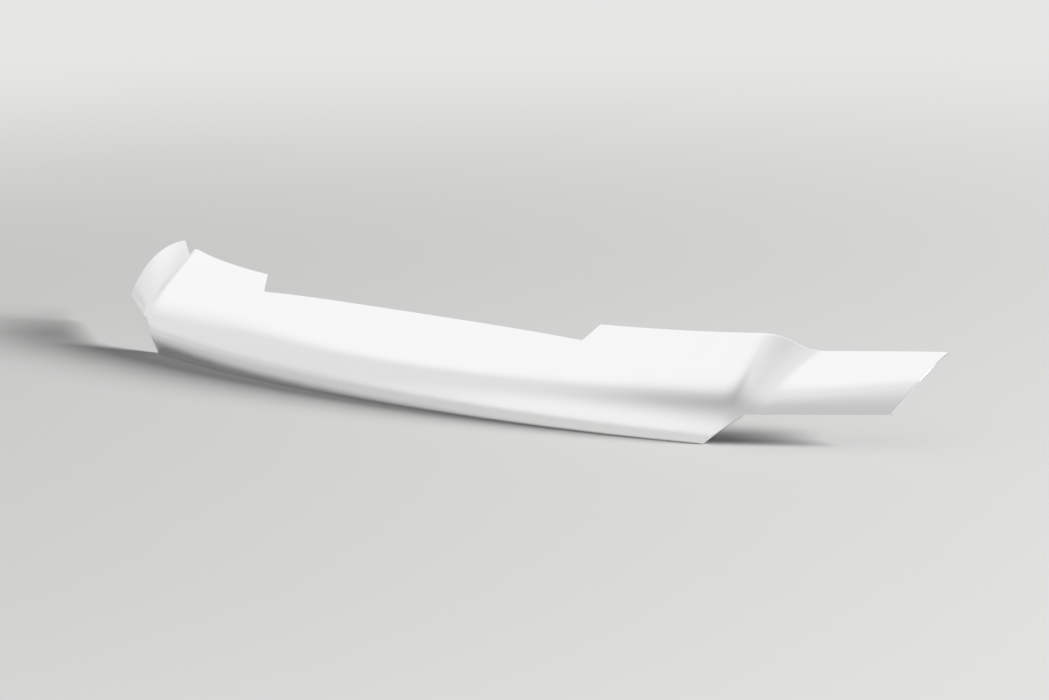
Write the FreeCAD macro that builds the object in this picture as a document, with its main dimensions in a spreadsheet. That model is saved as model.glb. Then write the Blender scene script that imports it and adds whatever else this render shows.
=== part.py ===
import FreeCAD, Part
import Sketcher
import math
import os

# A low bug deflector: one sheet of plastic, formed to a folded front that wraps round
# at both ends and trimmed to its outline, with foam tape on its underside.
# -Y is its front, +X its left and +Z up. The origin is on the middle of the lower lip,
# at the lip's inner face.

doc = FreeCAD.newDocument("hood_shield")
sheet = doc.addObject("Spreadsheet::Sheet", "sizes")

# Driving sizes in millimetres, all of the outer face. x is counted from the middle of
# the shield, depth from the lip's inner face backwards and rise from the lip upwards.
sizes = [
    ("wall", 3.0, "thickness of the plastic sheet"),
    # the form, by the control points that pull the sheet into shape
    ("trim", 24.0, "formed sheet beyond the outline, which trimming takes off"),
    ("nose_radius", 2475.0, "sweep of the front, seen from above"),
    ("fold_rise", 60.0, "height of the fold between the front band and the top face"),
    ("fold_set", 2.5, "how far the front band leans back up to the fold"),
    ("fold_tightness", 0.97, "1 is a sharp fold along the front, 0.67 a soft one"),
    ("middle_depth", 66.5, "rear of the form at the middle"),
    ("middle_rise", 136.5, "height of the form's rear at the middle"),
    ("crease_low_x", 611.0, "the crease on the front band"),
    ("crease_low_depth", 85.0, "the front band at the crease"),
    ("crease_x", 604.5, "the crease at the rear"),
    ("crease_depth", 173.0, "rear end of the crease"),
    ("crease_rise", 137.0, "height of the crease's rear end"),
    ("crease_soft", 22.0, "half length of the bend at the crease"),
    ("valley_low_x", 640.0, "where the side facet meets the wing on the front band"),
    ("valley_low_depth", 96.0, "the front band at the valley"),
    ("valley_x", 650.0, "the valley at the rear"),
    ("valley_depth", 211.0, "rear end of the valley"),
    ("valley_rise", 120.5, "height of the valley's rear end"),
    ("valley_soft", 18.0, "half length of the bend at the valley"),
    ("wing_low_x", 798.0, "front of the wing's end"),
    ("wing_low_depth", 197.0, "front of the wing's end"),
    ("wing_crown_rise", 124.5, "crown of the wing's end"),
    ("crown_half_way", 0.45, "where the crown's middle lies between valley and end"),
    ("wing_x", 804.0, "rear of the wing's end"),
    ("wing_depth", 324.0, "rear of the wing's end"),
    ("wing_rise", 111.5, "height of the wing's rear end"),
    ("wing_crown_ahead", 47.5, "crown of the wing's end, ahead of its rear"),
    ("wing_crown_depth", "=wing_depth - wing_crown_ahead", "crown of the wing's end"),
    # the outline that the formed sheet is trimmed to
    ("corner_radius", 5.0, "rounding of the outline's corners"),
    ("lip_x", 567.0, "end of the straight lower lip"),
    ("jog_x", 621.0, "top of the slanted step in the lower edge"),
    ("jog_rise", 44.5, "height of the wing's lower edge at that step"),
    ("wing_edge_rise", 49.5, "height of the wing's lower edge at its end"),
    ("end_front_x", 787.0, "front corner of the wing"),
    ("end_front_depth", 211.0, "front corner of the wing"),
    ("end_radius", 165.0, "bow of the wing's end, seen from above"),
    ("end_rear_x", 793.0, "rear corner of the wing"),
    ("end_overrun", 8.0, "rear corner of the wing, behind the form's own corner"),
    ("end_rear_depth", "=wing_depth + end_overrun", "rear corner of the wing"),
    ("dip_x", 643.0, "corner of the rear edge between side facet and wing"),
    ("dip_depth", 209.0, "corner of the rear edge between side facet and wing"),
    ("brow_x", 596.0, "rear edge at the crease"),
    ("brow_depth", 179.5, "rear edge at the crease"),
    ("shoulder_radius", 1075.0, "sweep of the rear edge from the crease to the notch"),
    ("step_x", 346.0, "half width of the notch at its mouth"),
    ("step_depth", 99.6, "rear edge beside the notch"),
    ("notch_x", 331.0, "half width of the notch at its edge"),
    ("notch_depth", 58.8, "rear edge at the middle of the notch"),
    ("notch_radius", 2950.0, "sweep of the notch's edge, seen from above"),
    # the tape
    ("tape", 1.1, "thickness of the foam tape"),
    ("tape_width", 12.0, "width of the foam tape"),
    ("tape_inset", 5.0, "bare plastic between the tape and the edge"),
    ("tape_gap", 14.0, "half the gap between the two strips on the lip"),
]
for row, (name, value, note) in enumerate(sizes, 1):
    sheet.set("A%d" % row, name)
    sheet.set("B%d" % row, str(value))
    sheet.set("C%d" % row, note)
    sheet.setAlias("B%d" % row, name)
doc.recompute()


def size(name):
    return float(sheet.get(name))


def point(x, y, z=0.0):
    return FreeCAD.Vector(x, y, z)


def between(a, b, share):
    return a + (b - a) * share


# The net of control points that forms the sheet. Its rails run from the middle of the
# shield to past the wing's end: the foot, the front fold, the crown and the rear. Each
# bends at the crease and at the valley, over a soft length. A smooth curve runs a little
# inside its control points, so those of the swept panel stand out by that much.
panel_steps = 5
wing_points = 5


def rail_to_crease(middle, crease):
    reach = (crease.x - size("crease_soft")) / crease.x
    sweep = crease.x ** 2 / (2 * size("nose_radius"))
    rest = crease.y - middle.y - sweep
    stand_out = sweep * (reach / panel_steps) ** 2 / 3
    points = []
    for step in range(panel_steps + 1):
        share = reach * step / panel_steps
        depth = middle.y - stand_out + sweep * share ** 2 + rest * share ** 4
        rise = middle.z + (crease.z - middle.z) * share ** 2
        points.append(point(crease.x * share, depth, rise))
    return points


def rail_on_wing(valley, end, half_way):
    along = end - valley
    return [valley,
            valley + along * (size("valley_soft") / along.Length),
            between(valley, end, half_way),
            end,
            end + along * (size("trim") / along.Length)]


def rail(middle, crease, valley, end):
    side_facet = [crease, between(crease, valley, 0.5)]
    return rail_to_crease(middle, crease) + side_facet + rail_on_wing(valley, end, 0.5)


def front_rail(rise):
    lean = size("fold_set") * rise / size("fold_rise")
    return rail(point(0, lean - size("wall"), rise),
                point(size("crease_low_x"), size("crease_low_depth") + lean, rise),
                point(size("valley_low_x"), size("valley_low_depth") + lean, rise),
                point(size("wing_low_x"), size("wing_low_depth") + lean, rise))


foot_rail = front_rail(-size("trim"))
fold_rail = front_rail(size("fold_rise"))
rear_rail = [rear + (rear - fold) * (size("trim") / (rear - fold).Length)
             for fold, rear in zip(fold_rail, rail(
                 point(0, size("middle_depth"), size("middle_rise")),
                 point(size("crease_x"), size("crease_depth"), size("crease_rise")),
                 point(size("valley_x"), size("valley_depth"), size("valley_rise")),
                 point(size("wing_x"), size("wing_depth"), size("wing_rise"))))]
band_rail = [between(foot, fold, size("fold_tightness"))
             for foot, fold in zip(foot_rail, fold_rail)]
crown_rail = [between(rear, fold, size("fold_tightness"))
              for rear, fold in zip(rear_rail, fold_rail)]
wing_crown = point((size("wing_low_x") + size("wing_x")) / 2,
                   size("wing_crown_depth"), size("wing_crown_rise"))
crown_rail[-wing_points:] = rail_on_wing(crown_rail[-wing_points], wing_crown,
                                         size("crown_half_way"))

half_net = list(zip(foot_rail, band_rail, crown_rail, rear_rail))
net = [[point(-p.x, p.y, p.z) for p in line] for line in reversed(half_net[1:])]
net += [list(line) for line in half_net]

degree = 3
spans = len(net) - degree
knots = [float(number) for number in range(spans + 1)]
padded_knots = [knots[0]] * degree + knots + [knots[-1]] * degree


def face_through(poles):
    ends = [degree + 1]
    surface = Part.BSplineSurface()
    surface.buildFromPolesMultsKnots(poles, ends + [1] * (spans - 1) + ends, ends + ends,
                                     knots, [0.0, 1.0], False, False, degree, degree)
    return surface


outer_face = face_through(net)


# The same face, sunk below the outer one: each control point moves along the normal
def sunk_face(depth):
    poles = []
    for row, line in enumerate(net):
        across = sum(padded_knots[row + 1:row + 1 + degree]) / degree
        poles.append([pole - outer_face.normal(across, column / degree) * depth
                      for column, pole in enumerate(line)])
    return face_through(poles)


# A closed solid between two faces of the same net
def filled(top, bottom):
    top_face = top.toShape()
    bottom_face = bottom.toShape()
    faces = [top_face, bottom_face]
    for upper, lower in zip(top_face.Edges, bottom_face.Edges):
        faces.append(Part.makeRuledSurface(upper, lower))
    shell = Part.Shell(faces)
    shell.sewShape()
    solid = Part.Solid(shell)
    if solid.Volume < 0:
        solid.reverse()
    return solid


inner_face = sunk_face(size("wall"))
tape_face = sunk_face(size("wall") + size("tape"))

formed_sheet = doc.addObject("Part::Feature", "formed_sheet")
formed_sheet.Shape = filled(outer_face, inner_face)


# An outline as a sketch. Its corners run anticlockwise, each a pair of formulas and the
# name of its rounding. The last entry bows the stretch that follows the corner: outwards
# for 1 and inwards for -1, with the radius that the formula gives.
def outline(name, corners, placement):
    sketch = doc.addObject("Sketcher::SketchObject", name)
    sketch.Placement = placement
    places = [point(sheet.evalExpression(x), sheet.evalExpression(y)) for x, y, _, _ in corners]
    ends = []
    for start, stop, (_, _, _, bow) in zip(places, places[1:] + places[:1], corners):
        if bow is None:
            sketch.addGeometry(Part.LineSegment(start, stop), False)
            ends.append((1, 2))
            continue
        radius = sheet.evalExpression(bow[1])
        chord = stop - start
        side = point(chord.y, -chord.x) * (bow[0] / chord.Length)
        middle = between(start, stop, 0.5) + side * sag_of(radius, chord.Length)
        first, last = (start, stop) if bow[0] > 0 else (stop, start)
        sketch.addGeometry(Part.Arc(first, middle, last), False)
        ends.append((1, 2) if bow[0] > 0 else (2, 1))
    for index, (x, y, _, bow) in enumerate(corners):
        follower = (index + 1) % len(corners)
        sketch.addConstraint(Sketcher.Constraint("Coincident", index, ends[index][1],
                                                 follower, ends[follower][0]))
        bind(sketch, x, "DistanceX", -1, 1, index, ends[index][0])
        bind(sketch, y, "DistanceY", -1, 1, index, ends[index][0])
        if bow is not None:
            bind(sketch, bow[1], "Radius", index)
    return sketch


def sag_of(radius, chord):
    return radius - math.sqrt(radius ** 2 - (chord / 2) ** 2)


def bind(sketch, formula, kind, *places):
    datum = Sketcher.Constraint(kind, *places, sheet.evalExpression(formula))
    number = sketch.addConstraint(datum)
    sketch.setExpression("Constraints[%d]" % number, formula)


# The prism of an outline, with its corners rounded, that the sheet is trimmed by
def trimming(name, corners, placement, length):
    block = doc.addObject("Part::Extrusion", name + "_block")
    block.Base = outline(name + "_outline", corners, placement)
    block.DirMode = "Normal"
    block.Solid = True
    block.setExpression("LengthFwd", length)
    doc.recompute()
    soft = {}
    for x, y, rounding, _ in corners:
        if rounding:
            corner = point(sheet.evalExpression(x), sheet.evalExpression(y))
            soft[(round(corner.x, 3), round(corner.y, 3))] = size(rounding)
    rounded = []
    for number, edge in enumerate(block.Shape.Edges, 1):
        foot, top = [placement.inverse().multVec(v.Point) for v in edge.Vertexes]
        spot = (round(foot.x, 3), round(foot.y, 3))
        if spot == (round(top.x, 3), round(top.y, 3)) and spot in soft:
            rounded.append((number, soft[spot], soft[spot]))
    trimmer = doc.addObject("Part::Fillet", name)
    trimmer.Base = block
    trimmer.Edges = rounded
    return trimmer


notch_corner = ("sizes.notch_depth + sizes.notch_radius"
                " - sqrt(sizes.notch_radius ^ 2 - sizes.notch_x ^ 2)")
ahead = "-2 * sizes.trim - sizes.wall"
seen_from_above = [
    ("sizes.end_front_x", ahead, None, None),
    ("sizes.end_front_x", "sizes.end_front_depth", None, (1, "sizes.end_radius")),
    ("sizes.end_rear_x", "sizes.end_rear_depth", "corner_radius", None),
    ("sizes.dip_x", "sizes.dip_depth", None, None),
    ("sizes.brow_x", "sizes.brow_depth", "corner_radius", (-1, "sizes.shoulder_radius")),
    ("sizes.step_x", "sizes.step_depth", "corner_radius", None),
    ("sizes.notch_x", notch_corner, "corner_radius", (-1, "sizes.notch_radius")),
    ("-sizes.notch_x", notch_corner, "corner_radius", None),
    ("-sizes.step_x", "sizes.step_depth", "corner_radius", (-1, "sizes.shoulder_radius")),
    ("-sizes.brow_x", "sizes.brow_depth", "corner_radius", None),
    ("-sizes.dip_x", "sizes.dip_depth", None, None),
    ("-sizes.end_rear_x", "sizes.end_rear_depth", "corner_radius", (1, "sizes.end_radius")),
    ("-sizes.end_front_x", "sizes.end_front_depth", None, None),
    ("-sizes.end_front_x", ahead, None, None),
]
beside = "sizes.wing_x + 3 * sizes.trim"
above = "sizes.crease_rise + 3 * sizes.trim"
seen_from_ahead = [
    ("sizes.lip_x", "0", "corner_radius", None),
    ("sizes.jog_x", "sizes.jog_rise", "corner_radius", None),
    (beside, "sizes.wing_edge_rise", None, None),
    (beside, above, None, None),
    ("-(%s)" % beside, above, None, None),
    ("-(%s)" % beside, "sizes.wing_edge_rise", None, None),
    ("-sizes.jog_x", "sizes.jog_rise", "corner_radius", None),
    ("-sizes.lip_x", "0", "corner_radius", None),
]
plan_base = FreeCAD.Placement(point(0, 0, -3 * size("trim")), FreeCAD.Rotation())
front_base = FreeCAD.Placement(point(0, size("wing_depth") + 3 * size("trim"), 0),
                               FreeCAD.Rotation(point(1, 0, 0), 90))
plan_trimming = trimming("plan_trimming", seen_from_above, plan_base,
                         "sizes.crease_rise + 6 * sizes.trim")
front_trimming = trimming("front_trimming", seen_from_ahead, front_base,
                          "sizes.wing_depth + 6 * sizes.trim")
shield = doc.addObject("Part::MultiCommon", "shield")
shield.Shapes = [formed_sheet, plan_trimming, front_trimming]
shield.Label = "shield"


# The tape is a layer on the underside, cut to strips that follow the trimmed edges. An
# edge runs anticlockwise from start to stop, seen from the viewer's side. Its bow is
# the radius of an edge that curves inwards, and the strip leaves both ends bare.
tape_layer = filled(inner_face, tape_face)
inner_skin = inner_face.toShape()
from_above = point(0, 0, 1)
from_ahead = point(0, -1, 0)
inset = size("tape_inset")
width = size("tape_width")


def edge_strip(viewer, start, stop, bow, bare):
    chord = (stop - start).Length
    edge = (stop - start) * (1 / chord)
    inward = viewer.cross(edge)
    middle_sag = sag_of(bow, chord) if bow else 0
    end_sag = middle_sag - sag_of(bow, chord - 2 * bare) if bow else 0
    first = start + edge * bare + inward * end_sag
    middle = between(start, stop, 0.5) + inward * middle_sag
    last = stop - edge * bare + inward * end_sag
    # the sheet leans away from the viewer, so distances on it look shorter from there
    normal = normal_below(middle + inward * (inset + width / 2), viewer)
    rim = edge - viewer * (normal.dot(edge) / normal.dot(viewer))
    shortening = abs(normal.dot(viewer)) * rim.Length
    near = inward * (inset * shortening)
    far = inward * ((inset + width) * shortening)
    sides = []
    for off in (near, far):
        if bow:
            sides.append(Part.Arc(first + off, middle + off, last + off).toShape())
        else:
            sides.append(Part.LineSegment(first + off, last + off).toShape())
    sides.append(Part.makeLine(first + near, first + far))
    sides.append(Part.makeLine(last + near, last + far))
    band = Part.Face(Part.Wire(Part.sortEdges(sides)[0]))
    reach = size("wing_depth") + size("crease_rise")
    band.translate(viewer * -reach)
    cutter = band.extrude(viewer * (2 * reach))
    strips = []
    for looseness in (0, 0.001, 0.01):  # looser where the two only just meet along a line
        strips = strips or tape_layer.common([cutter], looseness).Solids
    return max(strips, key=lambda strip: strip.Volume)


# The underside's normal where the viewer's line of sight passes it, or comes nearest
def normal_below(place, viewer):
    reach = viewer * (size("wing_depth") + size("wing_x"))
    _, nearest, _ = inner_skin.distToShape(Part.makeLine(place - reach, place + reach))
    return inner_face.normal(*inner_face.parameter(nearest[0][0]))


tapes = []


def add_tape(name, solid):
    tape = doc.addObject("Part::Feature", name)
    tape.Shape = solid
    tape.Label = name
    tapes.append(tape)


def pair_of_tapes(name, *edge):
    left = edge_strip(*edge)
    add_tape(name + "_left", left)
    add_tape(name + "_right", left.mirror(point(0, 0), point(1, 0)))


notch_mouth = sheet.evalExpression(notch_corner)
add_tape("tape_rear_middle", edge_strip(
    from_above, point(size("notch_x"), notch_mouth), point(-size("notch_x"), notch_mouth),
    size("notch_radius"), inset))
pair_of_tapes("tape_rear", from_above, point(size("brow_x"), size("brow_depth")),
              point(size("step_x"), size("step_depth")), size("shoulder_radius"), width)
pair_of_tapes("tape_lip", from_ahead, point(size("tape_gap"), 0),
              point(size("lip_x") - inset - width, 0), None, 0)
pair_of_tapes("tape_wing_rear", from_above, point(size("end_rear_x"), size("end_rear_depth")),
              point(size("dip_x"), size("dip_depth")), None, width)
pair_of_tapes("tape_wing_front", from_ahead, point(size("jog_x"), 0, size("jog_rise")),
              point(size("end_front_x"), 0, size("wing_edge_rise")), None, 1.5 * width)

doc.recompute()
for item in doc.Objects:
    if "Invalid" in item.State or "Error" in item.State:
        raise RuntimeError("%s is %s" % (item.Name, item.State))
pieces = [shield] + tapes
for piece in pieces:
    if piece.Shape.isNull() or not piece.Shape.isValid() or len(piece.Shape.Solids) != 1:
        raise RuntimeError("%s isn't one valid solid" % piece.Label)

os.makedirs("parts", exist_ok=True)
for piece in pieces:
    piece.Shape.exportStep("parts/%s.step" % piece.Label)
    print(piece.Label, round(piece.Shape.Volume), "mm3")
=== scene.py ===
import bpy
import bmesh
import math
import numpy as np
from mathutils import Matrix, Vector


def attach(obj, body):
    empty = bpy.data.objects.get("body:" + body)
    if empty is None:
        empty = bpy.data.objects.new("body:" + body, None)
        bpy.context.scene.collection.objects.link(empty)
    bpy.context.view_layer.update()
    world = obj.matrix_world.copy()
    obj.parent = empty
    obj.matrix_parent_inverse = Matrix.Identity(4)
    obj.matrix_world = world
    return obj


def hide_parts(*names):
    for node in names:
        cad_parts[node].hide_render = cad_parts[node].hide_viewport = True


# A chrome bug deflector: one formed sheet, wrapped round at both ends, with foam tape on its
# underside. Lengths are in millimetres until a mesh is made. -Y is its front, +X its left.
metre = 1000.0

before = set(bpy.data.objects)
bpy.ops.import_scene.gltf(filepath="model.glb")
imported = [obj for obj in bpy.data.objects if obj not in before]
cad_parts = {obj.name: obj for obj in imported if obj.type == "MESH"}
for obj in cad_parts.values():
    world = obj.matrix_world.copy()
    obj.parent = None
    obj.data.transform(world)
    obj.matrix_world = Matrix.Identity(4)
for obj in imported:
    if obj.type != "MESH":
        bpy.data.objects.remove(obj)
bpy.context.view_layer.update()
print("frame loaded,", len(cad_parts), "nodes")


def srgb(code):
    parts = [int(code[place:place + 2], 16) / 255 for place in (1, 3, 5)]
    return tuple(p / 12.92 if p <= 0.04045 else ((p + 0.055) / 1.055) ** 2.4 for p in parts) + (1.0,)


# Adds a node. A name is one of its own settings or an input, and a number counts its inputs.
# A link comes from a socket or from a node's first live output
def addNode(tree, kind, settings=None, links=None):
    node = tree.nodes.new(kind)
    settings, links = settings or {}, links or {}
    own = [name for name in settings if isinstance(name, str) and hasattr(node, name)]
    for name in own:
        setattr(node, name, settings[name])
    sockets = {socket.name: socket for socket in reversed(node.inputs) if socket.enabled}
    sockets.update(enumerate(node.inputs))
    for name in settings:
        if name not in own:
            sockets[name].default_value = settings[name]
    for name, source in links.items():
        if isinstance(source, bpy.types.Node):
            source = next(socket for socket in source.outputs if socket.enabled)
        tree.links.new(source, sockets[name])
    return node


def newMaterial(name):
    material = bpy.data.materials.new(name)
    material.use_nodes = True
    material.node_tree.nodes.clear()
    return material, material.node_tree


def pieceFrom(build, name):
    mesh = bpy.data.meshes.new(name)
    build.to_mesh(mesh)
    build.free()
    piece = bpy.data.objects.new(name, mesh)
    bpy.context.scene.collection.objects.link(piece)
    return piece


# The photograph's own standpoint, turned to the shield with a longer lens
cameraFacts = {
    "standpoint": (6.002, -5.690, 1.481),  # metres
    "target": (0.083, 0.209, 0.060),
    "lens": 200.0,  # mm
    "sensor": 36.0,  # mm across
    "roll": -0.65,  # degrees
    "farthest": 200.0,  # metres
}

cameraData = bpy.data.cameras.new("camera")
cameraData.lens = cameraFacts["lens"]
cameraData.sensor_width = cameraFacts["sensor"]
cameraData.clip_end = cameraFacts["farthest"]
camera = bpy.data.objects.new("camera", cameraData)
bpy.context.scene.collection.objects.link(camera)
standpoint = Vector(cameraFacts["standpoint"])
sightLine = Vector(cameraFacts["target"]) - standpoint
camera.matrix_world = (Matrix.Translation(standpoint)
                       @ sightLine.to_track_quat("-Z", "Y").to_matrix().to_4x4()
                       @ Matrix.Rotation(math.radians(cameraFacts["roll"]), 4, "Z"))
bpy.context.scene.camera = camera
print("camera placed")


# The shield's form is pulled into shape by a net of control points
shield = {
    "wall": 3.0,
    "trim": 24.0,  # formed sheet beyond the outline
    "noseRadius": 2475.0,  # sweep of the front, seen from above
    "foldRise": 60.0,
    "foldSet": 2.5,  # lean of the front band
    "foldTightness": 0.97,
    "middleRear": (0.0, 66.5, 136.5),
    "creaseLow": (611.0, 85.0),
    "creaseRear": (604.5, 173.0, 137.0),
    "creaseSoft": 22.0,
    "valleyLow": (640.0, 96.0),
    "valleyRear": (650.0, 211.0, 120.5),
    "valleySoft": 18.0,
    "wingLow": (798.0, 197.0),
    "wingCrown": (801.0, 276.5, 124.5),
    "crownHalfWay": 0.45,
    "wingRear": (804.0, 324.0, 111.5),
    "cornerRadius": 5.0,
    "notchRadius": 2950.0,
    "shoulderRadius": 1075.0,
    "endRadius": 165.0,
    "rimRounding": 0.8,  # the outer edge, buffed after it is cut
    "rimRoundingInside": 0.3,
    "rimRows": (6, 4),  # rows of points on the two roundings
    "platedBands": 7,  # of the nine bands of faces across the cut edge, from the outer face
    "columnSpacing": 5.0,  # of the mesh
    "fineSpacing": 0.7,  # beside the corners of the outline
    "fineReach": 6.0,
    "fineReachAtEnd": 7.0,
    "closest": 0.3,  # two columns
    "rows": 50,
    "leanFrom": 700.0,  # x from which the columns' rear ends lean outwards
    "bendFrom": 655.0,  # x from which they bend towards the wing's curved end
}
panelSteps = 5  # stretches of the net from the middle to the crease
wingPoints = 5  # columns of the net from the valley outwards


def mix(a, b, share):
    return a + (b - a) * share


# A row of the net: a round sweep up to the crease, which takes up the rest of the depth late
def railToCrease(middle, crease):
    reach = (crease[0] - shield["creaseSoft"]) / crease[0]
    sweep = crease[0] ** 2 / (2 * shield["noseRadius"])
    rest = crease[1] - middle[1] - sweep
    standOut = sweep * (reach / panelSteps) ** 2 / 3
    share = reach * np.arange(panelSteps + 1) / panelSteps
    return np.stack([crease[0] * share,
                     middle[1] - standOut + sweep * share ** 2 + rest * share ** 4,
                     middle[2] + (crease[2] - middle[2]) * share ** 2], axis=1)


# The same row from the valley outwards, and on past the end of the wing
def railOnWing(valley, end, halfWay):
    along = (end - valley) / np.linalg.norm(end - valley)
    return np.array([valley, valley + along * shield["valleySoft"], mix(valley, end, halfWay),
                     end, end + along * shield["trim"]])


def rail(middle, crease, valley, end):
    middle, crease, valley, end = [np.array(p, float) for p in (middle, crease, valley, end)]
    return np.vstack([railToCrease(middle, crease), crease, mix(crease, valley, 0.5),
                      railOnWing(valley, end, 0.5)])


def frontRail(rise):
    lean = shield["foldSet"] * rise / shield["foldRise"]
    low = [(x, depth + lean, rise)
           for x, depth in (shield["creaseLow"], shield["valleyLow"], shield["wingLow"])]
    return rail((0, lean - shield["wall"], rise), *low)


def outerNet():
    foot = frontRail(-shield["trim"])
    fold = frontRail(shield["foldRise"])
    rear = rail(shield["middleRear"], shield["creaseRear"], shield["valleyRear"],
                shield["wingRear"])
    slope = rear - fold
    rear = rear + slope * (shield["trim"] / np.linalg.norm(slope, axis=1))[:, None]
    band = mix(foot, fold, shield["foldTightness"])
    crown = mix(rear, fold, shield["foldTightness"])
    crown[-wingPoints:] = railOnWing(crown[-wingPoints], np.array(shield["wingCrown"]),
                                     shield["crownHalfWay"])
    half = np.stack([foot, band, crown, rear], axis=1)
    mirrored = half[1:][::-1] * (-1, 1, 1)
    return np.concatenate([mirrored, half])


# The net's surface is a cubic spline across the shield and one cubic curve from foot to rear
netPoints = outerNet()
spans = len(netPoints) - 3
knots = np.concatenate([[0] * 3, np.arange(spans + 1), [spans] * 3]).astype(float)


def splineShares(place):
    place = np.clip(place, 0, spans - 1e-9)[:, None]  # the very end belongs to the last span
    shares = ((place >= knots[:-1]) & (place < knots[1:])).astype(float)
    for degree in (1, 2, 3):
        count = len(knots) - 1 - degree
        first, second = knots[:count], knots[1:count + 1]
        rise = knots[degree:count + degree] - first
        fall = knots[degree + 1:count + degree + 1] - second
        up = np.where(rise > 0, (place - first) / np.where(rise > 0, rise, 1), 0)
        down = np.where(fall > 0, (second + fall - place) / np.where(fall > 0, fall, 1), 0)
        shares = up * shares[:, :count] + down * shares[:, 1:count + 1]
    return shares


def surfacePoint(net, across, along):
    shape = across.shape
    across, along = across.ravel(), along.ravel()
    bernstein = np.stack([(1 - along) ** 3, 3 * along * (1 - along) ** 2,
                          3 * along ** 2 * (1 - along), along ** 3], axis=1)
    points = np.einsum("ni,nj,ijk->nk", splineShares(across), bernstein, net)
    return points.reshape(shape + (3,))


def surfaceSlopes(net, across, along):
    step = 1e-5
    byAcross = surfacePoint(net, across + step, along) - surfacePoint(net, across - step, along)
    byAlong = surfacePoint(net, across, along + step) - surfacePoint(net, across, along - step)
    return byAcross / (2 * step), byAlong / (2 * step)


def unit(vectors):
    return vectors / np.linalg.norm(vectors, axis=-1, keepdims=True)


def surfaceNormal(net, across, along):
    return unit(np.cross(*surfaceSlopes(net, across, along)))


# The same net, lowered into the sheet: each control point moves where the surface is nearest
def sunkNet(depth):
    net = netPoints.copy()
    margin = 1e-4  # a slope can't be read right at the border
    across = np.array([knots[row + 1:row + 4].mean() for row in range(len(net))])
    across = np.clip(across, margin, spans - margin)
    for column in range(4):
        along = np.full(len(net), min(max(column / 3, margin), 1 - margin))
        net[:, column] -= surfaceNormal(netPoints, across, along) * depth
    return net


# A place on the round arc between two lines that meet at a corner
def arcPoint(start, corner, stop, weight, share):
    a, b, c = (1 - share) ** 2, 2 * share * (1 - share) * weight, share ** 2
    return (a * start + b * corner + c * stop) / (a + b + c)


# The outline, first as a dense line seen from above or ahead. Bows are drawn by a radius,
# to one side or, with -1, to the other
def bowed(start, stop, radius, side, count=60):
    start, stop = np.array(start, float), np.array(stop, float)
    if not radius:
        return mix(start, stop, np.linspace(0, 1, count)[:, None])
    chord = stop - start
    length = np.linalg.norm(chord)
    half = math.asin(length / 2 / radius)
    swing = np.linspace(-half, half, count)
    along = mix(start, stop, 0.5) + np.outer(radius * np.sin(swing), chord / length)
    sag = radius * (np.cos(swing) - math.cos(half)) * side
    return along + np.outer(sag, (chord[1] / length, -chord[0] / length))


def rounded(before, after, radius, count=16):
    come, leave = unit(before[-1] - before[-2]), unit(after[1] - after[0])
    turn = math.acos(np.dot(come, leave))
    reach = radius * math.tan(turn / 2)
    corner = before[-1]
    before = before[np.linalg.norm(before - corner, axis=1) > reach]
    after = after[np.linalg.norm(after - corner, axis=1) > reach]
    arc = arcPoint(corner - come * reach, corner, corner + leave * reach, math.cos(turn / 2),
                   np.linspace(0, 1, count)[:, None])
    return np.vstack([before, arc, after])


def joined(parts, radii):
    line = parts[0]
    for part, radius in zip(parts[1:], radii):
        line = rounded(line, part, radius) if radius else np.vstack([line, part[1:]])
    return line


outlineCorners = {
    "notch": (331.0, 58.8),  # half width, depth at the middle
    "step": (346.0, 99.6),
    "brow": (596.0, 179.5),
    "dip": (643.0, 209.0),
    "endRear": (793.0, 332.0),
    "endFront": (787.0, 211.0),
    "lip": (567.0, 0.0),  # the rest are seen from ahead
    "jog": (621.0, 44.5),
    "wingEdge": (876.0, 49.5),
}

notchX, notchDepth = outlineCorners["notch"]
notchCorner = (notchX, notchDepth + shield["notchRadius"]
               - math.sqrt(shield["notchRadius"] ** 2 - notchX ** 2))
frontEndX = outlineCorners["endFront"][0]
turnRadius = shield["cornerRadius"]
# an odd count puts a point on the middle, where the half line starts
notchLine = bowed((-notchX, notchCorner[1]), notchCorner, shield["notchRadius"], 1, count=121)
rearLine = joined([notchLine[notchLine[:, 0] > -1e-6],
                   bowed(notchCorner, outlineCorners["step"], 0, 0),
                   bowed(outlineCorners["step"], outlineCorners["brow"],
                         shield["shoulderRadius"], 1),
                   bowed(outlineCorners["brow"], outlineCorners["dip"], 0, 0),
                   bowed(outlineCorners["dip"], outlineCorners["endRear"], 0, 0),
                   bowed(outlineCorners["endRear"], outlineCorners["endFront"],
                         shield["endRadius"], -1),
                   bowed(outlineCorners["endFront"], (frontEndX, 0), 0, 0)],
                  [turnRadius, turnRadius, turnRadius, 0, turnRadius, 0])
frontLine = joined([bowed((0, 0), outlineCorners["lip"], 0, 0),
                    bowed(outlineCorners["lip"], outlineCorners["jog"], 0, 0),
                    bowed(outlineCorners["jog"], outlineCorners["wingEdge"], 0, 0)],
                   [turnRadius, turnRadius])
fromAbove, fromAhead = [0, 1], [0, 2]  # the two axes that such a view shows


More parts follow.
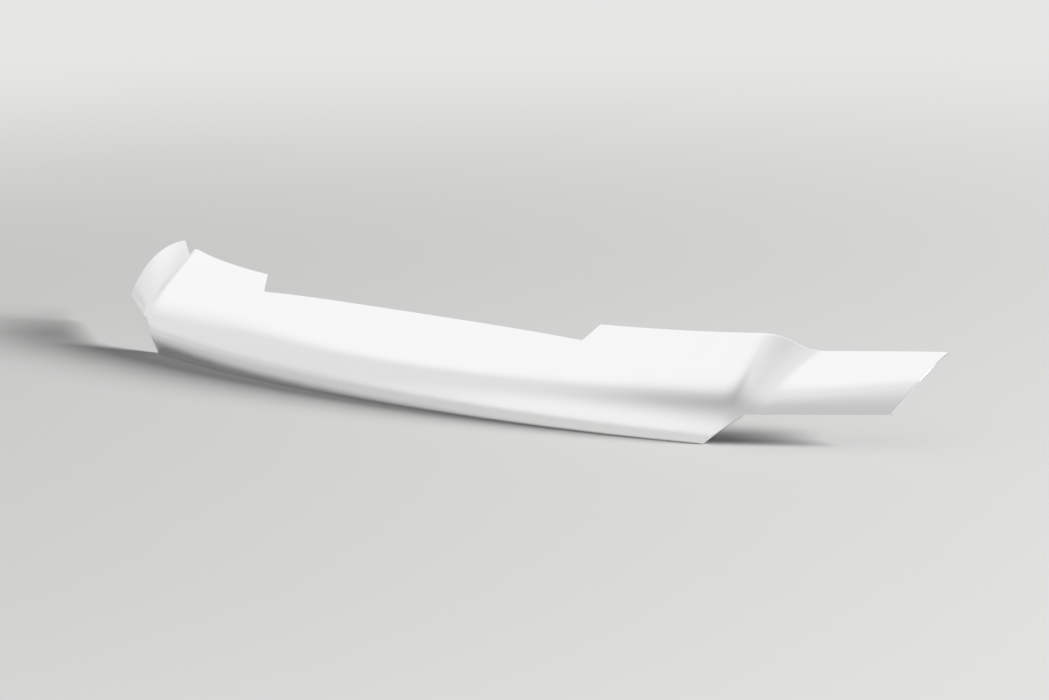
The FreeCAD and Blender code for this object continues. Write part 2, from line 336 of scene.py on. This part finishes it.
# Where the face has the wanted two coordinates, by Newton's steps from a coarse search.
# The stride is the most that one step moves
def placesOn(net, wanted, axes, search=(111, 41), stride=(0.5, 0.2), steps=8):
    across = np.repeat(np.linspace(spans / 2, spans, search[0]), search[1])
    along = np.tile(np.linspace(0, 1, search[1]), search[0])
    known = surfacePoint(net, across, along)[:, axes]
    nearest = ((wanted[:, None] - known[None]) ** 2).sum(-1).argmin(1)
    across, along = across[nearest], along[nearest]
    for _ in range(steps):
        miss = surfacePoint(net, across, along)[:, axes] - wanted
        slopes = np.stack([s[:, axes] for s in surfaceSlopes(net, across, along)], axis=2)
        move = np.linalg.solve(slopes, miss[:, :, None])[:, :, 0]
        move = np.clip(move, np.negative(stride), stride)
        across = np.clip(across - move[:, 0], spans / 2 - stride[0], spans)
        along = np.clip(along - move[:, 1], 0, 1)
    return across, along


# The mesh's columns: the same x on both long edges, closer together beside the corners
turnPlace = len(rearLine) - 1 - np.argmax((rearLine[::-1, 1] + rearLine[::-1, 0]))
rearCorner = rearLine[turnPlace]
columns = list(np.arange(0, frontEndX, shield["columnSpacing"]))
for name in ("notch", "step", "lip", "brow", "jog"):
    cornerX = outlineCorners[name][0]
    columns += list(np.arange(cornerX - shield["fineReach"], cornerX + shield["fineReach"],
                              shield["fineSpacing"]))
columns += list(np.arange(frontEndX - shield["fineReachAtEnd"], frontEndX, shield["fineSpacing"]))
columns += [outlineCorners["dip"][0], frontEndX]
columns = np.unique(np.round(columns, 3))
columns = columns[np.concatenate([[True], np.diff(columns) > shield["closest"]])]
columns[-1] = frontEndX
lean = np.clip((columns - shield["leanFrom"]) / (frontEndX - shield["leanFrom"]), 0, 1)
rearX = columns + (rearCorner[0] - frontEndX) * lean
upperLine = rearLine[:turnPlace + 1]
endLine = rearLine[turnPlace:][::-1]
rows = np.linspace(0, 1, shield["rows"] + 1)


# How far places on the face lie beyond the curve of the wing's end
def missOfEnd(net, across, along):
    point = surfacePoint(net, across, along)
    return point[:, 0] - np.interp(point[:, 1], endLine[:, 1], endLine[:, 0])


def gridPlaces(net):
    low = placesOn(net, np.stack([columns, np.interp(columns, *frontLine.T)], axis=1), fromAhead)
    high = placesOn(net, np.stack([rearX, np.interp(rearX, *upperLine.T)], axis=1), fromAbove)
    endAcross, endAlong = [mix(low[k][-1], high[k][-1], rows) for k in (0, 1)]
    steps, nudge, stride = 12, 1e-4, 0.2
    for _ in range(steps):  # onto the wing's end curve
        miss = missOfEnd(net, endAcross, endAlong)
        missAhead = missOfEnd(net, endAcross + nudge, endAlong)
        endAcross = endAcross - np.clip(miss / ((missAhead - miss) / nudge), -stride, stride)
    across, along = [mix(low[k][None], high[k][None], rows[:, None]) for k in (0, 1)]
    bend = np.clip((columns - shield["bendFrom"]) / (frontEndX - shield["bendFrom"]), 0, 1) ** 2
    across = across + bend[None] * (endAcross - across[:, -1])[:, None]
    return (np.concatenate([spans - across[:, 1:][:, ::-1], across], axis=1),
            np.concatenate([along[:, 1:][:, ::-1], along], axis=1))


def borderOf(values):
    return np.concatenate([values[0], values[1:, -1], values[-1, :-1][::-1],
                           values[1:-1, 0][::-1]])


# The border of one face, and which way is inwards from it along the face
def rimFacts(net, places):
    across, along = borderOf(places[0]), borderOf(places[1])
    point = surfacePoint(net, across, along)
    tangent = unit(np.roll(point, -1, axis=0) - np.roll(point, 1, axis=0))
    inwards = unit(np.cross(surfaceNormal(net, across, along), tangent))
    return point, inwards


# The face's places, with the border drawn in by what the rounding takes
def drawnIn(net, places, inwards, reach):
    across, along = places[0].copy(), places[1].copy()
    slopes = np.stack(surfaceSlopes(net, borderOf(across), borderOf(along)), axis=2)
    square = np.einsum("nki,nkj->nij", slopes, slopes)
    target = np.einsum("nki,nk->ni", slopes, inwards * reach[:, None])
    move = np.linalg.solve(square, target[:, :, None])[:, :, 0]
    order = borderOf(np.arange(across.size).reshape(across.shape))
    across.ravel()[order] += move[:, 0]
    along.ravel()[order] += move[:, 1]
    return across, along


# Rows of points round the rim, from its reach along one face to its reach along the other
def arcRows(rim, first, second, reach, count):
    half = np.sqrt((1 + (first * second).sum(1)) / 2)  # cosine of half the angle between
    weight = np.sqrt(1 - half ** 2)[:, None]
    start, stop = rim + first * reach[:, None], rim + second * reach[:, None]
    return [arcPoint(start, rim, stop, weight, share) for share in np.linspace(0, 1, count)]


def reachOf(first, second, radius):
    half = np.arccos(np.clip((first * second).sum(1), -1, 1)) / 2
    return radius / np.tan(half)


def buildShield():
    outer, inner = netPoints, sunkNet(shield["wall"])
    outerPlaces, innerPlaces = gridPlaces(outer), gridPlaces(inner)
    outerRim, outerInwards = rimFacts(outer, outerPlaces)
    innerRim, innerInwards = rimFacts(inner, innerPlaces)
    through = unit(innerRim - outerRim)
    outerReach = reachOf(outerInwards, through, shield["rimRounding"])
    innerReach = reachOf(innerInwards, -through, shield["rimRoundingInside"])
    outerGrid = surfacePoint(outer, *drawnIn(outer, outerPlaces, outerInwards, outerReach))
    innerGrid = surfacePoint(inner, *drawnIn(inner, innerPlaces, innerInwards, innerReach))
    outerRows, innerRows = shield["rimRows"]
    rim = arcRows(outerRim, outerInwards, through, outerReach, outerRows)[1:]
    rim += arcRows(innerRim, -through, innerInwards, innerReach, innerRows)[:-1]

    size = outerGrid[..., 0].size
    points = np.concatenate([outerGrid.reshape(-1, 3), innerGrid.reshape(-1, 3)] + rim) / metre
    outside = np.arange(size).reshape(outerGrid.shape[:2])
    inside = outside + size
    loops = [borderOf(outside)]
    loops += [2 * size + row * len(loops[0]) + np.arange(len(loops[0])) for row in range(len(rim))]
    loops.append(borderOf(inside))

    build = bmesh.new()
    verts = [build.verts.new(point) for point in points]
    plated, bare = 0, 1  # the piece's two materials

    def addQuads(a, b, c, d, material):
        for quad in zip(a.ravel(), b.ravel(), c.ravel(), d.ravel()):
            face = build.faces.new([verts[number] for number in quad])
            face.smooth = True
            face.material_index = material

    addQuads(outside[:-1, :-1], outside[:-1, 1:], outside[1:, 1:], outside[1:, :-1], plated)
    addQuads(inside[:-1, :-1], inside[1:, :-1], inside[1:, 1:], inside[:-1, 1:], bare)
    for row, (loop, following) in enumerate(zip(loops, loops[1:])):
        addQuads(loop, following, np.roll(following, -1), np.roll(loop, -1),
                 plated if row < shield["platedBands"] else bare)
    build.normal_update()
    return pieceFrom(build, "shieldSheet")


# Foam tape on the underside, in strips that follow the trimmed edges
tape = {
    "width": 12.0,
    "inset": 5.0,  # bare plastic beside the shield's edge
    "lipGap": 14.0,  # half the gap in the middle of the lip
    "wingGap": 18.0,  # bare edge at both ends of the wing's lower strip
    "spacing": 3.0,  # between rows of points
    "count": 7,  # points across
    # the slit sides bulge a little: height above the plastic, how far in from the widest
    "sideProfile": ((0.02, 0.16), (0.14, 0.05), (0.35, 0.0), (0.75, 0.0), (0.96, 0.06),
                    (1.06, 0.18), (1.10, 0.36)),
}
lipEnd = outlineCorners["lip"][0] - tape["inset"] - tape["width"]
tapeStrips = {  # seen from where, start and end of the edge, its radius, bare ends
    "rear_middle": (fromAbove, notchCorner, (-notchX, notchCorner[1]),
                    shield["notchRadius"], tape["inset"]),
    "rear": (fromAbove, outlineCorners["brow"], outlineCorners["step"],
             shield["shoulderRadius"], tape["width"]),
    "lip": (fromAhead, (tape["lipGap"], 0.0), (lipEnd, 0.0), 0, 0),
    "wing_rear": (fromAbove, outlineCorners["endRear"], outlineCorners["dip"], 0, tape["width"]),
    "wing_front": (fromAhead, outlineCorners["jog"], (frontEndX, outlineCorners["wingEdge"][1]),
                   0, tape["wingGap"]),
}


# A place on the underside, or so far below it, by two of its coordinates
def under(flat, axes, depth):
    net = sunkNet(shield["wall"] + depth)
    side = np.where(flat[:, 0] < 0, -1.0, 1.0)
    across, along = placesOn(net, np.stack([flat[:, 0] * side, flat[:, 1]], axis=1), axes)
    point = surfacePoint(net, across, along)
    point[:, 0] *= side
    return point, surfaceNormal(net, across, along)


# One layer of a strip, as it lies beside its edge in the view that the edge is drawn in
def flatStrip(start, stop, radius, bare, shortening, drawIn):
    start, stop = np.array(start, float), np.array(stop, float)
    chord = np.linalg.norm(stop - start)
    edge = (stop - start) / chord
    inward = np.array([-edge[1], edge[0]])
    along = np.linspace(bare + drawIn, chord - bare - drawIn, int(chord / tape["spacing"]))
    inside = np.linspace(tape["inset"] * shortening + drawIn,
                         (tape["inset"] + tape["width"]) * shortening - drawIn, tape["count"])
    along, inside = np.meshgrid(along, inside)
    if radius:
        inside = inside + (np.sqrt(radius ** 2 - (along - chord / 2) ** 2)
                           - math.sqrt(radius ** 2 - (chord / 2) ** 2))
    return start + along[..., None] * edge + inside[..., None] * inward


# The sheet leans away from the viewer, so distances on it look shorter from there
def shorteningOf(axes, start, stop, radius, bare):
    strip = flatStrip(start, stop, radius, bare, 1.0, 0.0)
    middle = strip[tape["count"] // 2, strip.shape[1] // 2]
    normal = under(middle[None], axes, 0.0)[1][0]
    edge, viewer = np.zeros(3), np.zeros(3)
    edge[axes] = unit(np.array(stop) - np.array(start))
    viewer[3 - sum(axes)] = 1.0  # along the axis that the view doesn't show
    rim = edge - viewer * (normal @ edge) / (normal @ viewer)
    return abs(normal @ viewer) * np.linalg.norm(rim)


def buildTape(name, facts, mirror):
    shortening = shorteningOf(*facts)
    build = bmesh.new()

    def addLayer(flat, height):
        points = under(flat.reshape(-1, 2), facts[0], height)[0] / metre * (mirror, 1, 1)
        return np.array([build.verts.new(point) for point in points]).reshape(flat.shape[:-1])

    layers = [(flatStrip(*facts[1:], shortening, drawIn), height)
              for height, drawIn in tape["sideProfile"]]
    caps = [addLayer(*layers[0]), addLayer(*layers[-1])]
    loops = [borderOf(caps[0])] + [addLayer(borderOf(flat), height) for flat, height in layers[1:-1]]
    loops.append(borderOf(caps[1]))
    for cap in caps:
        for corners in zip(cap[:-1, :-1].flat, cap[:-1, 1:].flat, cap[1:, 1:].flat,
                           cap[1:, :-1].flat):
            build.faces.new(corners)
    for loop, following in zip(loops, loops[1:]):
        for corners in zip(loop, following, np.roll(following, -1), np.roll(loop, -1)):
            build.faces.new(corners)
    bmesh.ops.recalc_face_normals(build, faces=build.faces)
    for face in build.faces:
        face.smooth = True
    return pieceFrom(build, name)


# Chrome-plated ABS: ABS moulded or formed, then plated to a mirror. The eye sees the room in
# it, a little softened by the sheet's own waviness and by fine wiping marks
plating = {
    "colour": "#f8f8f8",
    "roughness": (0.10, 0.14),  # wiped clean, and with a film left by the wiping
    "wipedPatches": 60.0,  # mm across, and cloudy
    "waves": 45.0,  # mm across, left by the forming
    "waveHeight": 0.4,  # mm
    "waveStrength": 0.10,
}


def chromePlatedAbs():
    material, tree = newMaterial("chromePlatedAbs")
    place = addNode(tree, "ShaderNodeTexCoord").outputs["Object"]
    wiping = addNode(tree, "ShaderNodeTexNoise",
                     {"Scale": metre / plating["wipedPatches"], "Detail": 4.0}, {"Vector": place})
    clean, filmed = plating["roughness"]
    # most of the noise lies between 0.3 and 0.7
    roughness = addNode(tree, "ShaderNodeMapRange",
                        {"From Min": 0.3, "From Max": 0.7, "To Min": clean, "To Max": filmed},
                        {"Value": wiping.outputs["Fac"]})
    waviness = addNode(tree, "ShaderNodeTexNoise",
                       {"Scale": metre / plating["waves"], "Detail": 1.0}, {"Vector": place})
    bump = addNode(tree, "ShaderNodeBump",
                   {"Strength": plating["waveStrength"], "Distance": plating["waveHeight"] / metre},
                   {"Height": waviness.outputs["Fac"]})
    shader = addNode(tree, "ShaderNodeBsdfPrincipled",
                     {"Base Color": srgb(plating["colour"]), "Metallic": 1.0},
                     {"Roughness": roughness.outputs["Result"], "Normal": bump.outputs["Normal"]})
    addNode(tree, "ShaderNodeOutputMaterial", None, {"Surface": shader.outputs["BSDF"]})
    return material


# ABS, as moulded and left unplated: dark, satin, with a fine even grain
plastic = {
    "colours": ("#2c2d2f", "#343537"),
    "patches": 90.0,  # mm across, from one of the colours to the other
    "grain": 1.2,  # mm wide
    "grainHeight": 0.1,  # mm
    "grainStrength": 0.35,
    "roughness": 0.52,
    "ior": 1.54,
}


def mouldedAbs():
    material, tree = newMaterial("mouldedAbs")
    place = addNode(tree, "ShaderNodeTexCoord").outputs["Object"]
    grain = addNode(tree, "ShaderNodeTexNoise",
                    {"Scale": metre / plastic["grain"], "Detail": 2.0}, {"Vector": place})
    bump = addNode(tree, "ShaderNodeBump",
                   {"Strength": plastic["grainStrength"],
                    "Distance": plastic["grainHeight"] / metre},
                   {"Height": grain.outputs["Fac"]})
    patches = addNode(tree, "ShaderNodeTexNoise",
                      {"Scale": metre / plastic["patches"], "Detail": 3.0}, {"Vector": place})
    dark, light = [srgb(code) for code in plastic["colours"]]
    colour = addNode(tree, "ShaderNodeMix", {"data_type": "RGBA", "A": dark, "B": light},
                     {"Factor": patches.outputs["Fac"]})
    shader = addNode(tree, "ShaderNodeBsdfPrincipled",
                     {"Roughness": plastic["roughness"], "IOR": plastic["ior"]},
                     {"Base Color": colour, "Normal": bump.outputs["Normal"]})
    addNode(tree, "ShaderNodeOutputMaterial", None, {"Surface": shader.outputs["BSDF"]})
    return material


# Acrylic foam tape, slit from a roll: closed cells too fine to see one by one, a faint
# sheen from the adhesive on its face
foam = {
    "colour": "#55565a",
    "cells": 0.9,  # mm; the real ones are 0.1 mm and are drawn coarser, to show
    "cellHeight": 0.2,  # mm
    "cellStrength": 0.4,
    "roughness": 0.6,
    "ior": 1.48,
    "adhesive": 0.25,  # how much of its sheen shows
    "adhesiveRoughness": 0.25,
}


def acrylicFoamTape():
    material, tree = newMaterial("acrylicFoamTape")
    place = addNode(tree, "ShaderNodeTexCoord").outputs["Object"]
    cells = addNode(tree, "ShaderNodeTexVoronoi", {"Scale": metre / foam["cells"]},
                    {"Vector": place})
    bump = addNode(tree, "ShaderNodeBump",
                   {"Strength": foam["cellStrength"], "Distance": foam["cellHeight"] / metre},
                   {"Height": cells.outputs["Distance"]})
    shader = addNode(tree, "ShaderNodeBsdfPrincipled",
                     {"Base Color": srgb(foam["colour"]), "Roughness": foam["roughness"],
                      "IOR": foam["ior"], "Coat Weight": foam["adhesive"],
                      "Coat Roughness": foam["adhesiveRoughness"]},
                     {"Normal": bump.outputs["Normal"]})
    addNode(tree, "ShaderNodeOutputMaterial", None, {"Surface": shader.outputs["BSDF"]})
    return material


sheet = buildShield()
sheet.data.materials.append(chromePlatedAbs())
sheet.data.materials.append(mouldedAbs())
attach(sheet, "root")
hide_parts("shield")
print("shield:", len(sheet.data.polygons), "faces")

tapeFoam = acrylicFoamTape()
for place, facts in tapeStrips.items():
    sides = {"": 1} if place == "rear_middle" else {"_left": 1, "_right": -1}
    for side, mirror in sides.items():
        words = (place + side).split("_")
        strip = buildTape("tape" + "".join(word.title() for word in words), facts, mirror)
        strip.data.materials.append(tapeFoam)
        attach(strip, "root")
        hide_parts("tape_" + place + side)
print("tape on the underside:", len(tapeStrips), "kinds of strip")


studio = {  # lengths in metres
    "floorSize": 60.0,
    "floorHeight": -0.0003,
    "floorColour": "#dadad9",
    "floorShine": 0.1,
    "rollerMarks": 0.125,
    "rollerHeight": 0.002,
    "rollerStrength": 0.05,
    "farColour": "#e6e6e5",  # what the floor fades to, away from the object
    "farFrom": 1.1,
    "farFull": 4.5,
    "wallColour": "#f8f8f8",
    # what the room shows beyond a tilted plane, softly: tilt, where it starts and is full
    "roomParts": [
        ((0.06, -0.18, 0.82), 0.21, 0.69, "#b3b3b3"),  # gap between wall and ceiling light
        ((1.46, 0.61, 1.11), 0.18, 0.93, "#ececec"),  # right wall
        ((-0.69, -0.10, 0.42), 0.47, 0.63, "#e6e6e6"),  # left wall
        ((-0.50, 0.18, 0.66), 0.58, 0.72, "#fefefe"),  # ceiling light
        ((-0.61, -0.33, 0.73), 0.90, 0.96, "#fefefe"),  # its front row
        ((0.64, -0.48, 0.19), 0.31, 0.63, "#cacaca"),  # corner in front, to the right
        ((1.2, 1.0, -0.8), -0.1, 0.6, "#7c7c7c"),  # dim wall behind, on the right
        ((-1.0, 0.0, -9.0), 0.3, 0.95, "#d0d0d0"),  # foot of the left wall
    ],
    "fillColour": "#7e7e7e",  # the room's light on matt surfaces
    "lampPower": 5300.0,
    "lampSize": 6.0,
    "lampPlace": (14.2, 6.3, 6.3),  # behind, to the right: the shadow falls to the front left
    "lampTarget": (0.0, 0.1, 0.0),
}


# A share of 1 for what the camera sees, straight or in a mirror or glass; 0 for lighting
def seenShare(tree):
    path = addNode(tree, "ShaderNodeLightPath")
    share = path.outputs["Is Camera Ray"]
    for kind in ("Is Glossy Ray", "Is Transmission Ray"):
        share = addNode(tree, "ShaderNodeMath", {"operation": "MAXIMUM"},
                        {0: share, 1: path.outputs[kind]}).outputs["Value"]
    return share


# Painted screed, rolled: matt and even, with faint roller marks
def buildFloor():
    bpy.ops.mesh.primitive_plane_add(size=studio["floorSize"],
                                     location=(0, 0, studio["floorHeight"]))
    floor = bpy.context.object
    floor.name = "studioFloor"
    material, tree = newMaterial("paintedFloor")
    place = addNode(tree, "ShaderNodeTexCoord").outputs["Object"]
    roller = addNode(tree, "ShaderNodeTexNoise",
                     {"Scale": 1 / studio["rollerMarks"], "Detail": 4.0}, {"Vector": place})
    bump = addNode(tree, "ShaderNodeBump",
                   {"Strength": studio["rollerStrength"], "Distance": studio["rollerHeight"]},
                   {"Height": roller.outputs["Fac"]})
    shader = addNode(tree, "ShaderNodeBsdfPrincipled",
                     {"Base Color": srgb(studio["floorColour"]), "Roughness": 1.0,
                      "Specular IOR Level": studio["floorShine"]},
                     {"Normal": bump.outputs["Normal"]})
    away = addNode(tree, "ShaderNodeVectorMath", {"operation": "LENGTH"}, {"Vector": place})
    fade = addNode(tree, "ShaderNodeMapRange",
                   {"interpolation_type": "SMOOTHSTEP", "From Min": studio["farFrom"],
                    "From Max": studio["farFull"]}, {"Value": away.outputs["Value"]})
    share = addNode(tree, "ShaderNodeMath", {"operation": "MULTIPLY"},
                    {0: fade.outputs["Result"], 1: seenShare(tree)})
    pale = addNode(tree, "ShaderNodeEmission", {"Color": srgb(studio["farColour"])})
    surface = addNode(tree, "ShaderNodeMixShader", None,
                      {"Fac": share, 1: shader.outputs["BSDF"], 2: pale.outputs["Emission"]})
    addNode(tree, "ShaderNodeOutputMaterial", None, {"Surface": surface.outputs["Shader"]})
    floor.data.materials.append(material)


# A white room, drawn by direction: walls, then each part laid over them
def buildRoom():
    world = bpy.data.worlds.new("whiteRoom")
    bpy.context.scene.world = world
    world.use_nodes = True
    tree = world.node_tree
    tree.nodes.clear()
    direction = addNode(tree, "ShaderNodeTexCoord").outputs["Generated"]
    colour = addNode(tree, "ShaderNodeRGB")
    colour.outputs[0].default_value = srgb(studio["wallColour"])
    for tilt, start, full, code in studio["roomParts"]:
        reach = addNode(tree, "ShaderNodeVectorMath", {"operation": "DOT_PRODUCT", 1: tilt},
                        {0: direction})
        share = addNode(tree, "ShaderNodeMapRange",
                        {"interpolation_type": "SMOOTHSTEP", "From Min": start, "From Max": full},
                        {"Value": reach.outputs["Value"]})
        colour = addNode(tree, "ShaderNodeMix", {"data_type": "RGBA", "B": srgb(code)},
                         {"Factor": share.outputs["Result"], "A": colour})
    seen = addNode(tree, "ShaderNodeMix", {"data_type": "RGBA", "A": srgb(studio["fillColour"])},
                   {"Factor": seenShare(tree), "B": colour})
    room = addNode(tree, "ShaderNodeBackground", {"Strength": 1.0}, {"Color": seen})
    addNode(tree, "ShaderNodeOutputWorld", None, {"Surface": room.outputs["Background"]})


def buildLamp():
    lampData = bpy.data.lights.new("softbox", "AREA")
    lampData.energy = studio["lampPower"]
    lampData.shape = "DISK"
    lampData.size = studio["lampSize"]
    lamp = bpy.data.objects.new("softbox", lampData)
    bpy.context.scene.collection.objects.link(lamp)
    lamp.location = studio["lampPlace"]
    beam = Vector(studio["lampTarget"]) - lamp.location
    lamp.rotation_euler = beam.to_track_quat("-Z", "Y").to_euler()


buildFloor()
buildRoom()
buildLamp()
bpy.context.scene.view_settings.view_transform = "Standard"
print("studio lit")
